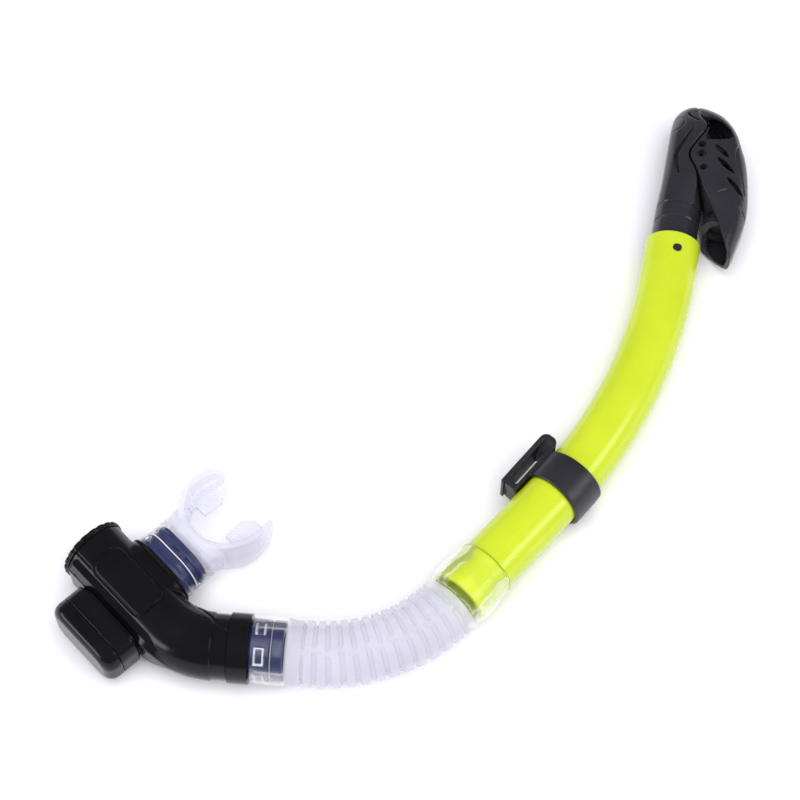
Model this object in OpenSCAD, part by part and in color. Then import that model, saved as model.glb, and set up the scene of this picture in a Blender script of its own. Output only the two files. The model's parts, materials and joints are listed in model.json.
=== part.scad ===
// Dry snorkel, lying on a table: mouthpiece chamber at -X, dry top at +X, +Z up.
// All lengths are in millimetres and angles in degrees.

/* [Barrel] */
// Outside diameter of the barrel
barrel_od = 28; // [26:0.5:28]
// Wall thickness of the barrel
barrel_wall = 2; // [1.6:0.1:2.2]
// Length of the straight stretch above the hose
barrel_straight = 67; // [60:1:80]
// Radius of the barrel's bend
barrel_bend_r = 268; // [260:1:280]
// Angle of the barrel's bend
barrel_bend = 31; // [29:1:32]

/* [Hose] */
// Radius of the hose's rest bend
hose_bend_r = 80; // [76:1:84]
// Angle of the hose's rest bend
hose_bend = 53; // [50:1:55]
// Number of ribs on the hose
hose_ribs = 13; // [9:1:16]
// Inside diameter of the hose
hose_id = 25; // [24:0.5:25]

/* [Chamber] */
// Outside diameter of the chamber
chamber_od = 32; // [31:0.5:33]
// Length from the elbow's corner to the end of the cap
chamber_len = 67; // [64:1:72]
// Angle between the chamber and the hose end
elbow_bend = 42; // [38:1:45]
// Radius of the elbow's centre line
elbow_r = 36; // [34:1:38]

/* [Mouthpiece] */
// Width across the wings' arc
wing_span = 45; // [42:1:48]
// Height of the wings
wing_height = 25; // [22:1:27]

/* [Keeper] */
// Width of the keeper's band
keeper_width = 17; // [14:1:20]
// Length of the strap slot
slot_len = 22.5; // [20:0.5:24]
// Width of the strap slot
slot_width = 5; // [4.9:0.1:5.5]

/* [Dry top] */
// Travel of the float
float_travel = 4.7; // [4:0.1:4.7]
// Swing of the valve lever
lever_swing = 30; // [26:1:30]

/* [Hidden] */

$fn = 72;
axis_z = 16.5;                      // height of every tube's axis above the table
fit = 0.05;                         // radial running clearance
lap = 0.5;                          // how far a straight stretch runs into a bend
bend_step = 0.03;                   // a bend is this much thinner than the straight it joins
barrel_r = barrel_od / 2;
barrel_bore = barrel_r - barrel_wall;
hose_bore = hose_id / 2;
chamber_r = chamber_od / 2;
chamber_wall = 2;
chamber_bore = chamber_r - chamber_wall;

// The route of the airway, from the barrel's bend down to the elbow's corner
foot_heading = 8;
bend_start = [1.8, -48.5];
top_straight = 16;                  // straight stretch of barrel above the bend
foot_gap = 3.5;                     // hose bend's end to the spigot's rim
cuff_straight = 28;                 // straight stretch of hose at the coupler
leg = 31.8;                         // elbow's corner to the collar's face

function polar(r, a) = [r * cos(a), r * sin(a)];
bend_center = bend_start + polar(barrel_bend_r, foot_heading + 90);
bend_end = bend_center + polar(barrel_bend_r, foot_heading + barrel_bend - 90);
top_heading = foot_heading + barrel_bend;
top_joint = bend_end + polar(top_straight, top_heading);
spigot_end = bend_start - polar(barrel_straight, foot_heading);
hose_end = spigot_end - polar(foot_gap, foot_heading);
hose_center = hose_end + polar(hose_bend_r, foot_heading + 90);
hose_heading = foot_heading - hose_bend;
hose_start = hose_center + polar(hose_bend_r, hose_heading - 90);
collar_face = hose_start - polar(cuff_straight, hose_heading);
corner = collar_face - polar(leg, hose_heading);
chamber_heading = hose_heading - elbow_bend + 180;
leg_turn = elbow_bend - 180;        // leg's direction in the chamber's frame
tangent = elbow_r * tan(elbow_bend / 2);

// Stations along the leg, from the elbow's corner
groove_at = 14.5;
collar_at = 22.3;
pilot_at = 19.5;
recess_at = 26;
leg_end = 30;
pilot_r = 12.9;
flange_r = 13.6;
neck_r = 13.1;
leg_end_r = 15;
collar_r = 16.5;

// Stations of the chamber, along its axis from the corner
cap_at = chamber_len - 3;
port_at = 35;
purge_at = 31;
purge_len = 43;
purge_wide = 27;
purge_corner = 9;
purge_wall = 2;
purge_seat = 16.85;                 // levels of the purge box, from the chamber's axis
purge_floor = 19;
purge_seam = 27.4;
purge_top = 36;

// Stations of the dry top, along its axis from the barrel's end
float_v = -22.5;
seat_v = -17;
seat_u = 50;
pin_u = 47.5;
pin_v = -27;
peg_u = -9.2;                       // snap peg that holds the dry top in the barrel
peg_r = 2.2;
peg_roll = 8.6;                     // the peg's axis leans this much off the mid plane's normal
neck_out_r = 11.6;
rivets = [[40.3, -8.6], [48.6, -6.6], [54.3, -6.2]];
rivet_r = 1.1;

// Places children in a flat frame at p, with +X along the heading
module at(p, heading) {
    translate([p[0], p[1], axis_z]) rotate([0, 0, heading]) children();
}
// Cylinder along +X from x0 to x1
module rod(r, x0, x1) {
    translate([x0, 0, 0]) rotate([0, 90, 0]) cylinder(r = r, h = x1 - x0);
}
// Cylinder along +Y from y0 to y1, at x
module side_rod(r, x, y0, y1) {
    translate([x, y0, 0]) rotate([-90, 0, 0]) cylinder(r = r, h = y1 - y0);
}
// Rubber ring around +X
module seal_ring(r_mid, r_wire, x) {
    translate([x, 0, 0]) rotate([0, 90, 0])
        rotate_extrude() translate([r_mid, 0]) circle(r_wire, $fn = 24);
}
// Flat shape with two round ends, w long and h high
module stadium(w, h) {
    square([w - h, h], center = true);
    for (side = [-1, 1]) translate([side * (w - h) / 2, 0]) circle(h / 2);
}
// Rectangle with round corners
module round_rect(w, h, r) {
    square([w - 2 * r, h], center = true);
    square([w, h - 2 * r], center = true);
    for (x = [-1, 1], y = [-1, 1])
        translate([x * (w / 2 - r), y * (h / 2 - r)]) circle(r);
}
// Extrudes a flat shape (X along the chamber, Y up) along the port side, from p0 to p1
module port_extrude(x, p0, p1) {
    translate([x, -p0, 0]) rotate([90, 0, 0]) linear_extrude(p1 - p0) children();
}
// Extrudes a flat shape along the purge side, from q0 to q1
module purge_extrude(x, q0, q1) {
    translate([x, q1, 0]) rotate([90, 0, 0]) linear_extrude(q1 - q0) children();
}
// Bent rod around c in the flat frame, from angle a0 over the angle a
module bend_rod(r, c, bend_r, a0, a) {
    translate([c[0], c[1], 0])
        rotate_extrude(angle = a, start = a0) translate([bend_r, 0]) circle(r);
}
// The whole run of the barrel at radius r, from x0 before its bend to its top end
module barrel_run(r, x0, extra) {
    at(bend_start, foot_heading) rod(r, x0, lap);
    translate([0, 0, axis_z])
        bend_rod(r - bend_step, bend_center, barrel_bend_r, foot_heading - 90, barrel_bend);
    at(bend_end, top_heading) rod(r, -lap, top_straight + extra);
}

module barrel_tube() {
    spigot_r = 13;
    rim_r = 14.4;
    rim_len = 6;
    spigot_len = 21;
    color([0.87, 0.94, 0.25]) difference() {
        union() {
            barrel_run(barrel_r, spigot_len - barrel_straight, 0);
            at(spigot_end, foot_heading) {
                rod(rim_r, 0, rim_len);
                rod(spigot_r, rim_len - lap, spigot_len + lap);
            }
        }
        barrel_run(barrel_bore, -barrel_straight - 1, 1);
        at(top_joint, top_heading) rotate([peg_roll, 0, 0]) translate([peg_u, 0, -20])
            cylinder(r = peg_r + 0.1, h = 40);
    }
}

// Rides on the barrel's bend, so its bore is bent too
module keeper_ring() {
    rest_arc = 9.5 / barrel_bend_r * 180 / PI;
    half_arc = keeper_width / 2 / barrel_bend_r * 180 / PI;
    band_r = 16.5;
    bar_v = 16;
    bar_wall = 2.5;
    end_wall = 12;                  // both ends of the loop together
    loop_len = slot_len + end_wall;
    loop_shift = -2.2;
    slot_shift = -2.7;
    loop_height = 16;
    loop_depth = slot_width + bar_wall;
    color([0.13, 0.13, 0.15]) difference() {
        union() {
            translate([0, 0, axis_z]) bend_rod(
                band_r, bend_center, barrel_bend_r,
                foot_heading - 90 + rest_arc - half_arc, 2 * half_arc
            );
            at(bend_center, foot_heading - 90 + rest_arc) {
                translate([barrel_bend_r - bar_v - loop_depth, loop_shift, -loop_height / 2])
                    linear_extrude(loop_height) difference() {
                        translate([loop_depth / 2 + 1.5, 0])
                            round_rect(loop_depth + 3, loop_len, 3);
                        translate([bar_wall + slot_width / 2, slot_shift])
                            square([slot_width, slot_len], center = true);
                    }
            }
        }
        translate([0, 0, axis_z]) bend_rod(
            barrel_r + fit, bend_center, barrel_bend_r, foot_heading - 93, 12
        );
    }
}

module flexible_hose() {
    cuff_r = 16;
    core_r = 13.9;
    rib_r = 15.5;
    rib_len = 3;
    lower_cuff = 20.5;
    upper_cuff_r = 16.3;
    upper_cuff = 9;
    upper_lip_r = 14.6;
    upper_lip = 20.6;
    coupler_seat_r = 14.55;
    coupler_seat = 17.6;
    neck_seat_r = 13.05;
    rim_seat_r = 14.45;
    rim_seat = 6.1;
    rib_spread = 5;                 // degrees by which the ribs run past the bend
    rib_step = (hose_bend + rib_spread) / hose_ribs;
    color([0.88, 0.87, 0.94, 0.5]) difference() {
        union() {
            at(collar_face, hose_heading) {
                rod(cuff_r, 0.6, lower_cuff + 1);
                rod(core_r, lower_cuff, cuff_straight + lap);
            }
            translate([0, 0, axis_z]) bend_rod(
                core_r - bend_step, hose_center, hose_bend_r, hose_heading - 90, hose_bend
            );
            for (i = [0 : hose_ribs - 1])
                at(hose_center, hose_heading - 90 - rib_spread + (i + 0.5) * rib_step)
                    side_rod(rib_r, hose_bend_r, -rib_len / 2, rib_len / 2);
            at(spigot_end, foot_heading) {
                rod(core_r, -foot_gap - lap, 0);
                rod(upper_cuff_r, -2, upper_cuff);
                rod(upper_lip_r, upper_cuff, upper_lip);
            }
        }
        at(collar_face, hose_heading) {
            rod(coupler_seat_r, 0, coupler_seat);
            rod(hose_bore, coupler_seat - 0.1, cuff_straight + lap);
        }
        translate([0, 0, axis_z]) bend_rod(
            hose_bore - bend_step, hose_center, hose_bend_r, hose_heading - 90, hose_bend
        );
        at(spigot_end, foot_heading) {
            rod(hose_bore, -foot_gap - lap, 1);
            rod(rim_seat_r, -0.1, rim_seat);
            rod(neck_seat_r, rim_seat - 0.1, upper_lip + 1.4);
        }
    }
}

module hose_coupler() {
    band_r = 14.4;
    waist_r = 13.6;
    bore_r = 11;
    window = 4;
    windows = 6;
    band_end = 10.5;                // stations past the collar's face
    ring_at = 12.5;
    ring_end = 17;
    color([0.16, 0.22, 0.42]) at(corner, hose_heading) difference() {
        union() {
            rod(pilot_r, pilot_at + 0.3, recess_at + 0.3);
            rod(flange_r, recess_at + 0.2, leg_end - 0.2);
            rod(neck_r, leg_end - 0.3, leg + 1);
            rod(band_r, leg + 0.5, leg + band_end);
            rod(waist_r, leg + band_end - lap, leg + ring_at + lap);
            rod(band_r, leg + ring_at, leg + ring_end);
        }
        rod(bore_r, pilot_at - 1, leg + ring_end + 1);
        for (i = [0 : windows - 1])
            rotate([360 / windows * i, 0, 0]) translate([leg + 3.5, -window / 2, band_r - 1.4])
                cube([4.5, window, 3]);
        difference() {
            rod(pilot_r + 1, pilot_at + 2, pilot_at + 4.2);
            rod(pilot_r - 1.5, pilot_at + 1, pilot_at + 6);
        }
    }
}

module swivel_seal() {
    color([0.1, 0.1, 0.1]) at(corner, hose_heading)
        seal_ring(pilot_r - 0.75, 0.7, pilot_at + 3.1);
}

module swivel_collar() {
    tab_w = 7;
    color([0.11, 0.11, 0.13]) at(corner, hose_heading) difference() {
        rod(collar_r, collar_at, leg);
        rod(leg_end_r + fit, collar_at - 1, leg_end + 0.1);
        rod(neck_r + 0.1, leg_end, leg + 1);
        for (side = [0, 180])
            rotate([side, 0, 0]) translate([leg - 3, -tab_w / 2, collar_r - 0.8])
                cube([4, tab_w, 3]);
    }
}

// Chamber, bend and leg at one radius
module chamber_run(r, x1, d1) {
    rod(r, tangent - lap, x1);
    bend_rod(r - bend_step, [tangent, -elbow_r], elbow_r, 90, elbow_bend);
    rotate([0, 0, leg_turn]) rod(r, tangent - lap, d1);
}

module chamber_housing() {
    purge_hole_r = 8.5;
    pad_len = 35;
    pad_at = 35.5;
    pad_width = 15;
    color([0.11, 0.11, 0.13]) at(corner, chamber_heading) difference() {
        union() {
            chamber_run(chamber_r, cap_at, groove_at);
            rotate([0, 0, leg_turn]) {
                rod(15.4, groove_at - 1, collar_at - 0.1);
                rod(leg_end_r, collar_at - 1, leg_end);
            }
            port_extrude(port_at, 8, 17.5) stadium(39, 25);
            translate([-4, 9, -10]) cube([62, 7.8, 20]);
            translate([pad_at, 0, -16.5]) linear_extrude(33)
                round_rect(pad_len, pad_width, 4);
        }
        chamber_run(chamber_bore, cap_at + 1, pilot_at);
        rotate([0, 0, leg_turn]) {
            rod(pilot_r + fit, pilot_at - 1, recess_at + 1);
            rod(flange_r + 0.1, recess_at, leg_end + 1);
        }
        port_extrude(port_at, 2, 18.5) stadium(31, 17);
        side_rod(purge_hole_r, purge_at, 6, 18);
    }
}

module end_cap() {
    notch = 3;
    notches = 12;
    plug = 6;
    color([0.12, 0.12, 0.14]) at(corner, chamber_heading) difference() {
        union() {
            rod(16.5, cap_at + 0.05, chamber_len);
            rod(chamber_bore - 0.1, cap_at - plug, cap_at + 1);
        }
        rod(chamber_bore - 2, cap_at - plug - 1, cap_at);
        difference() {
            rod(chamber_bore, cap_at - 4.2, cap_at - 2);
            rod(chamber_bore - 1.3, cap_at - 5, cap_at);
        }
        for (i = [0 : notches - 1])
            rotate([360 / notches * i, 0, 0]) translate([chamber_len - 1, -notch / 2, 15.7])
                cube([2, notch, 2]);
    }
}

module end_cap_seal() {
    color([0.1, 0.1, 0.1]) at(corner, chamber_heading)
        seal_ring(chamber_bore - 0.65, 0.6, cap_at - 3.1);
}

module purge_inside() {
    round_rect(purge_len - 2 * purge_wall, purge_wide - 2 * purge_wall, purge_corner - purge_wall);
}

module purge_body() {
    color([0.11, 0.11, 0.13]) at(corner, chamber_heading) difference() {
        purge_extrude(purge_at, purge_seat, purge_seam)
            round_rect(purge_len, purge_wide, purge_corner);
        purge_extrude(purge_at, purge_floor, purge_seam + 1) purge_inside();
        difference() {
            side_rod(7.5, purge_at, 16, 20);
            side_rod(2.6, purge_at, 15, 21);
            for (a = [0, 90])
                translate([purge_at, 18, 0]) rotate([0, a, 0]) cube([16, 4, 1.6], center = true);
        }
        side_rod(1.3, purge_at, 15, 21);
    }
}

module purge_valve() {
    color([0.85, 0.86, 0.9]) at(corner, chamber_heading) {
        side_rod(9.6, purge_at, 19.1, 19.9);
        side_rod(1.2, purge_at, 15.3, 19.5);
        side_rod(2, purge_at, 13.5, 15.5);
    }
}

module purge_cover() {
    slots = 4;
    color([0.1, 0.1, 0.12]) at(corner, chamber_heading) difference() {
        union() {
            purge_extrude(purge_at, purge_seam + 0.1, 32.5)
                round_rect(purge_len, purge_wide, purge_corner);
            purge_extrude(purge_at, 32, 34.6)
                round_rect(purge_len - 3, purge_wide - 3, purge_corner - 1);
            purge_extrude(purge_at, 34.2, purge_top)
                round_rect(purge_len - 8, purge_wide - 8, purge_corner - 3);
        }
        purge_extrude(purge_at, purge_seam - 0.4, 32) purge_inside();
        purge_extrude(purge_at, 31.5, 34.2) round_rect(34, 18, 6);
        for (i = [0 : slots - 1])
            translate([purge_at + (i - (slots - 1) / 2) * 7 - 1.5, 29, -15])
                cube([3, 2.2, 5]);
    }
}

module mouthpiece_ring() {
    color([0.16, 0.22, 0.36]) at(corner, chamber_heading) difference() {
        union() {
            port_extrude(port_at, 9.5, 18) stadium(30.8, 16.8);
            port_extrude(port_at, 17.55, 20) stadium(35, 23.4);
            port_extrude(port_at, 19.5, 31) stadium(32.4, 21);
            port_extrude(port_at, 27, 29) stadium(33.6, 22.2);
        }
        port_extrude(port_at, 9, 32) stadium(27, 13);
        for (side = [-1, 1], x = [-8, 0, 8])
            translate([port_at + x - 2, -26, side * 11.5 - 1.5]) cube([4, 4, 3]);
    }
}

module mouthpiece() {
    arc_p = 58;
    r_out = wing_span / 2;
    r_in = r_out - 3;
    mouth = 104;
    color([0.9, 0.89, 0.95, 0.5]) at(corner, chamber_heading) difference() {
        union() {
            port_extrude(port_at, 20.1, 34) stadium(35.6, 24.2);
            translate([port_at, -arc_p, -wing_height / 2])
                linear_extrude(wing_height) difference() {
                    union() {
                        circle(r_out);
                        polygon([[-17, 25], [17, 25], [20, 10], [-20, 10]]);
                    }
                    circle(r_in);
                    polygon([[0, 0], 60 * [sin(mouth / 2), -cos(mouth / 2)], [0, -60],
                        60 * [-sin(mouth / 2), -cos(mouth / 2)]]);
                }
            for (side = [-1, 1])
                translate([port_at + side * 13.6 - 6.6, -arc_p - 8, -1.6]) cube([13.2, 19, 3.2]);
        }
        port_extrude(port_at, 20, 31.1) stadium(33, 21.6);
        port_extrude(port_at, 28.9, 45) stadium(27, 13);
        port_extrude(port_at, 26.9, 29.1) stadium(33.7, 22.3);
    }
}

// Outline of the hood in plan, moved inwards by t
function curve(p, n) = [
    for (i = [0 : n - 1]) let (s = i / n)
        pow(1 - s, 3) * p[0] + 3 * s * pow(1 - s, 2) * p[1]
        + 3 * s * s * (1 - s) * p[2] + pow(s, 3) * p[3]
];
hood_nose = [85, -2];
hood_side = [30, -35.4];
hood_lip = [-4.5, -28];
function hood_outline(t) = concat(
    curve([[72, 9 - t], [80, 9 - t], [85 - t, 5 - t], hood_nose - [t, 0]], 5),
    curve([hood_nose - [t, 0], [85 - t, -16], [60, -35.4 + t], hood_side + [0, t]], 9),
    curve([hood_side + [0, t], [14, -35.4 + t], [2, -34 + t], hood_lip + [-t, t]], 6),
    [hood_lip + [-t, t], [-1.5 - t, -17.5], [18, -14], [33, -8.5], [48, -2], [60, 3]]
);
// Crowned body over an outline, h high at its middle
module crowned(points, h) {
    crown_r = 40;
    intersection() {
        translate([0, 0, -30]) linear_extrude(60) polygon(points);
        translate([-20, -12, h - crown_r]) rotate([0, 90, 0]) cylinder(r = crown_r, h = 120);
        translate([-20, -12, crown_r - h]) rotate([0, 90, 0]) cylinder(r = crown_r, h = 120);
    }
}

module top_hood() {
    wall = 1.8;
    color([0.12, 0.12, 0.14]) at(top_joint, top_heading) difference() {
        crowned(hood_outline(0), 16.5);
        crowned(hood_outline(wall), 16.5 - wall);
        // clearance around the neck and the upper duct
        rod(neck_out_r + 0.2, -20, 38);
        translate([0, 0.8, 0]) rod(10.2, 30, 78);
        // upper window and three slanting vents on each face
        translate([0, 0, -20]) linear_extrude(40)
            polygon([[75, -4], [71, -15], [66, -21.5], [62, -14], [59, -6.5], [66, -7.5]]);
        for (vent = [[52, -16.8, 52, 10.5], [43.9, -19.8, 54, 12.7], [32.9, -26, 48, 13.3]])
            translate([vent[0], vent[1], -20]) rotate([0, 0, vent[2]])
                linear_extrude(40) stadium(vent[3], 2.5);
        for (p = rivets) translate([p[0], p[1], -20]) cylinder(r = rivet_r + fit, h = 40);
    }
}

module hood_pins() {
    color([0.09, 0.09, 0.1]) at(top_joint, top_heading)
        for (p = rivets, side = [-1, 1])
            translate([p[0], p[1], side > 0 ? 10.5 : -16.2]) cylinder(r = rivet_r, h = 5.7);
}

module top_body() {
    spigot_len = 16;
    duct_v = 0.8;
    color([0.13, 0.13, 0.15]) at(top_joint, top_heading) difference() {
        union() {
            rod(barrel_bore - 0.05, -spigot_len, 1);
            rod(neck_out_r, 0.05, 36);
            translate([0, duct_v, 0]) rod(9.8, 35, 70);
            translate([70, duct_v, 0]) sphere(9.8);
            translate([0, seat_v, 0]) rod(7.5, seat_u, 62);
            side_rod(5.5, 56, seat_v, duct_v);
            rotate([peg_roll, 0, 0]) translate([peg_u, 0, -barrel_r - 0.2])
                cylinder(r = peg_r, h = barrel_od + 0.4);
            for (p = rivets) translate([p[0], p[1], -10.4]) cylinder(r = 2 * rivet_r, h = 20.8);
        }
        rod(10, -spigot_len - 1, 34);
        translate([0, duct_v, 0]) rod(7.8, 33, 70);
        translate([70, duct_v, 0]) sphere(7.8);
        translate([0, seat_v, 0]) rod(5.5, seat_u - 1, 60);
        side_rod(4, 56, seat_v, duct_v);
        difference() {
            rod(barrel_bore + 1, -5.2, -3);
            rod(barrel_bore - 1.4, -6, -2);
        }
    }
}

module neck_seal() {
    color([0.1, 0.1, 0.1]) at(top_joint, top_heading)
        seal_ring(barrel_bore - 0.75, 0.6, -4.1);
}

module float_cage() {
    cage_r = 9.6;
    color([0.2, 0.2, 0.22]) at(top_joint, top_heading) {
        difference() {
            union() {
                translate([0, float_v, 0]) rod(cage_r, 13, 38);
                translate([20, -14.2, -4]) cube([14, 2.55, 8]);
            }
            translate([0, float_v, 0]) rod(8.4, 15, 39);
            translate([0, float_v, 0]) rod(5.5, 12, 16);
            for (a = [30 : 60 : 330])
                translate([0, float_v, 0]) rotate([a, 0, 0]) translate([18, -2.5, 5])
                    cube([15, 5, 8]);
            translate([12, -13.25, -20]) cube([30, 10, 40]);
        }
        for (side = [-1, 1])
            translate([0, 0, side * 5.5]) difference() {
                translate([0, 0, -1]) linear_extrude(2) {
                    translate([pin_u, pin_v]) circle(2.4);
                    polygon([[34, -30.8], [43, -30.9], [pin_u + 2.3, pin_v - 0.5],
                        [pin_u - 2.2, pin_v], [43, -29.4], [34, -29.4]]);
                }
                translate([pin_u, pin_v, -2]) cylinder(r = 1, h = 4, $fn = 32);
            }
    }
}

module float() {
    float_r = 8;
    color([0.3, 0.3, 0.32]) at(top_joint, top_heading) {
        translate([0, float_v, 0]) rod(float_r, 15.4, 37.4);
        translate([0, float_v + 1.5, 0]) rod(2, 37, 41.6);
    }
}

// The lever and its seal are drawn shut and then swung open about the pin
module at_lever() {
    at(top_joint, top_heading) translate([pin_u, pin_v, 0]) rotate([0, 0, lever_swing])
        children();
}

module valve_lever() {
    color([0.3, 0.3, 0.33]) at_lever() difference() {
        union() {
            translate([0, 0, -4.2]) cylinder(r = 2.2, h = 8.4);
            translate([-0.9, 0, -3]) cube([1.8, 13, 6]);
        }
        translate([0, 0, -5]) cylinder(r = 1.05, h = 10, $fn = 32);
    }
}

module valve_seal() {
    color([0.86, 0.86, 0.9]) at_lever() difference() {
        translate([0, 10, 0]) rod(6.8, 0.95, 2.4);
        translate([0, 0, -4.3]) cylinder(r = 3, h = 8.6);
    }
}

module lever_pin() {
    color([0.75, 0.75, 0.77]) at(top_joint, top_heading)
        translate([pin_u, pin_v, -6.8]) cylinder(r = 0.98, h = 13.6, $fn = 32);
}

barrel_tube();
keeper_ring();
flexible_hose();
hose_coupler();
swivel_seal();
swivel_collar();
chamber_housing();
end_cap();
end_cap_seal();
purge_body();
purge_valve();
purge_cover();
mouthpiece_ring();
mouthpiece();
top_body();
neck_seal();
top_hood();
hood_pins();
float_cage();
float();
valve_lever();
valve_seal();
lever_pin();
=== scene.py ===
"""Looks of the dry snorkel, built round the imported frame.

Shapes are written in millimetres in flat local frames on the snorkel's mid plane, and become
metres in the shared frame when they are placed. Moulded parts are distance fields, meshed by
surface nets; the hose is a lathed sweep along its route.
"""

import json
import math

import bpy
import numpy as np
from mathutils import Matrix, Vector


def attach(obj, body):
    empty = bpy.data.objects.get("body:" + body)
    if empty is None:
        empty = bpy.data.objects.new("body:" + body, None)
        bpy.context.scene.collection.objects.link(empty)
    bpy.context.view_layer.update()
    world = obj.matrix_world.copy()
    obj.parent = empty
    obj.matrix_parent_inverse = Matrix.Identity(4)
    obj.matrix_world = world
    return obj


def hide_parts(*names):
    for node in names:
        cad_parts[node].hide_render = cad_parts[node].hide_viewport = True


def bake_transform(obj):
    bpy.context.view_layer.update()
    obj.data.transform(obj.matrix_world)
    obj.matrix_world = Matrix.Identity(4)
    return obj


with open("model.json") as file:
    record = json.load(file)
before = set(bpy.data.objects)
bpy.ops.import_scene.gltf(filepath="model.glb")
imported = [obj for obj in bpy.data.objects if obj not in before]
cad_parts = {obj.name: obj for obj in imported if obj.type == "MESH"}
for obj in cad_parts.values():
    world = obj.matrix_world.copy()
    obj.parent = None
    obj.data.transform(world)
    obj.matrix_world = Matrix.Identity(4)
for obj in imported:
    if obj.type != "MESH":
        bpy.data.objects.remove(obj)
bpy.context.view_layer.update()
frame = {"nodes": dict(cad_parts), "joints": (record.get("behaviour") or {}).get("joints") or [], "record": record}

MM = 0.001
JOINTS = {j["name"]: j for j in frame["joints"]}

# Driving sizes in millimetres and degrees
BARREL_R = 14.0
BARREL_BEND_R = 268.0
BARREL_BEND = 31.0
BARREL_STRAIGHT = 67.0
HOSE_BEND_R = 80.0
HOSE_BEND = 53.0
HOSE_BORE_R = 12.5
HOSE_RIBS = 13
CHAMBER_R = 16.0
CHAMBER_BORE_R = 14.0
ELBOW_R = 36.0
ELBOW_BEND = 42.0
LEG = 31.8
CAP_AT = 64.0
PORT_AT = 35.0
PURGE_AT = 31.0
LEVER_PIN = (47.5, -27.0)
KEEPER_AT = 9.5
CUFF_TAIL = 20.6            # hose that grips the spigot, past its rim
HOSE_CLEARANCE = 0.6        # between the hose's lower end and the collar's face
COUPLER_WINDOWS = 6
WINDOW_PHASE = 26.0
BAND_END = 9.6              # end of the coupler's windowed band, past the collar's face
RING = (10.6, 15.8)         # the coupler's plain ring, past the collar's face
COUPLER_R = 14.4


# ---------------------------------------------------------------- frames

def heading_of(joint):
    x, y, _ = JOINTS[joint]["axis"]
    return math.degrees(math.atan2(y, x))


def spot(joint):
    return np.array(JOINTS[joint]["pos_m"]) / MM


def polar(radius, degrees):
    a = math.radians(degrees)
    return np.array([radius * math.cos(a), radius * math.sin(a)])


AXIS_Z = spot("elbow_swivel")[2]
TOP_HEADING = heading_of("float_slide")
FOOT_HEADING = TOP_HEADING - BARREL_BEND
HOSE_HEADING = heading_of("elbow_swivel")
CHAMBER_HEADING = heading_of("purge_lift") - 90


class Place:
    """A flat frame on the mid plane: +X along a heading, +Y to its left, +Z up."""

    def __init__(self, origin, heading):
        self.origin = np.array(origin, float)[:2]
        self.heading = heading
        self.turn = math.radians(heading)

    def flat(self, x, y):
        c, s = math.cos(self.turn), math.sin(self.turn)
        return self.origin + np.array([x * c - y * s, x * s + y * c])

    def world(self, points):
        c, s = math.cos(self.turn), math.sin(self.turn)
        x, y, z = np.asarray(points, float).T
        return np.stack([
            self.origin[0] + x * c - y * s, self.origin[1] + x * s + y * c, AXIS_Z + z,
        ], 1) * MM


lever = Place(spot("lever_swing"), TOP_HEADING)
TOP = Place(lever.flat(-LEVER_PIN[0], -LEVER_PIN[1]), TOP_HEADING)
LEGWARD = Place(spot("elbow_swivel"), HOSE_HEADING)
ELBOW = Place(LEGWARD.flat(-LEG, 0), CHAMBER_HEADING)
BEND_CENTER = spot("keeper_slide")[:2]
BEND_START = BEND_CENTER + polar(BARREL_BEND_R, FOOT_HEADING - 90)
FOOT = Place(BEND_START, FOOT_HEADING)
SPIGOT = Place(FOOT.flat(-BARREL_STRAIGHT, 0), FOOT_HEADING)
KEEPER_TURN = math.degrees(KEEPER_AT / BARREL_BEND_R)
KEEPER = Place(BEND_CENTER + polar(BARREL_BEND_R, FOOT_HEADING - 90 + KEEPER_TURN),
               FOOT_HEADING + KEEPER_TURN)


# ---------------------------------------------------------------- distance fields

def length(*parts):
    return np.sqrt(sum(p * p for p in parts))


def span(t, low, high):
    return np.abs(t - (low + high) / 2) - (high - low) / 2


def both(a, b, edge=0.0):
    """Intersection, with its convex edge rounded."""
    if not edge:
        return np.maximum(a, b)
    outside = length(np.maximum(a + edge, 0), np.maximum(b + edge, 0))
    return np.minimum(np.maximum(a, b), -edge) + outside


def either(a, b, fillet=0.0):
    """Union, with its concave edge filled."""
    if not fillet:
        return np.minimum(a, b)
    inside = length(np.maximum(fillet - a, 0), np.maximum(fillet - b, 0))
    return np.maximum(np.minimum(a, b), fillet) - inside


def without(a, b, edge=0.0):
    return both(a, -b, edge)


def groove(a, line, depth, half):
    """Cuts a line of that depth and half width into a."""
    return np.maximum(a, np.minimum(a + depth, half - np.abs(line)))


def ridge(a, line, height, half):
    return np.minimum(a, np.maximum(a - height, np.abs(line) - half))


def stadium(x, y, w, h):
    return length(np.maximum(np.abs(x) - (w - h) / 2, 0), y) - h / 2


def rounded(x, y, w, h, r):
    qx, qy = np.abs(x) - w / 2 + r, np.abs(y) - h / 2 + r
    return length(np.maximum(qx, 0), np.maximum(qy, 0)) + np.minimum(np.maximum(qx, qy), 0) - r


def ease(t):
    t = np.clip(t, 0, 1)
    return t * t * (3 - 2 * t)


def turned(x, y, at, degrees):
    """Coordinates about a point, along a direction."""
    c, s = math.cos(math.radians(degrees)), math.sin(math.radians(degrees))
    dx, dy = x - at[0], y - at[1]
    return dx * c + dy * s, dy * c - dx * s


def line_distance(x, y, points):
    best = None
    for (ax, ay), (bx, by) in zip(points, points[1:]):
        ex, ey = bx - ax, by - ay
        wx, wy = x - ax, y - ay
        t = np.clip((wx * ex + wy * ey) / (ex * ex + ey * ey), 0, 1)
        d = (wx - ex * t) ** 2 + (wy - ey * t) ** 2
        best = d if best is None else np.minimum(best, d)
    return np.sqrt(best)


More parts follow.
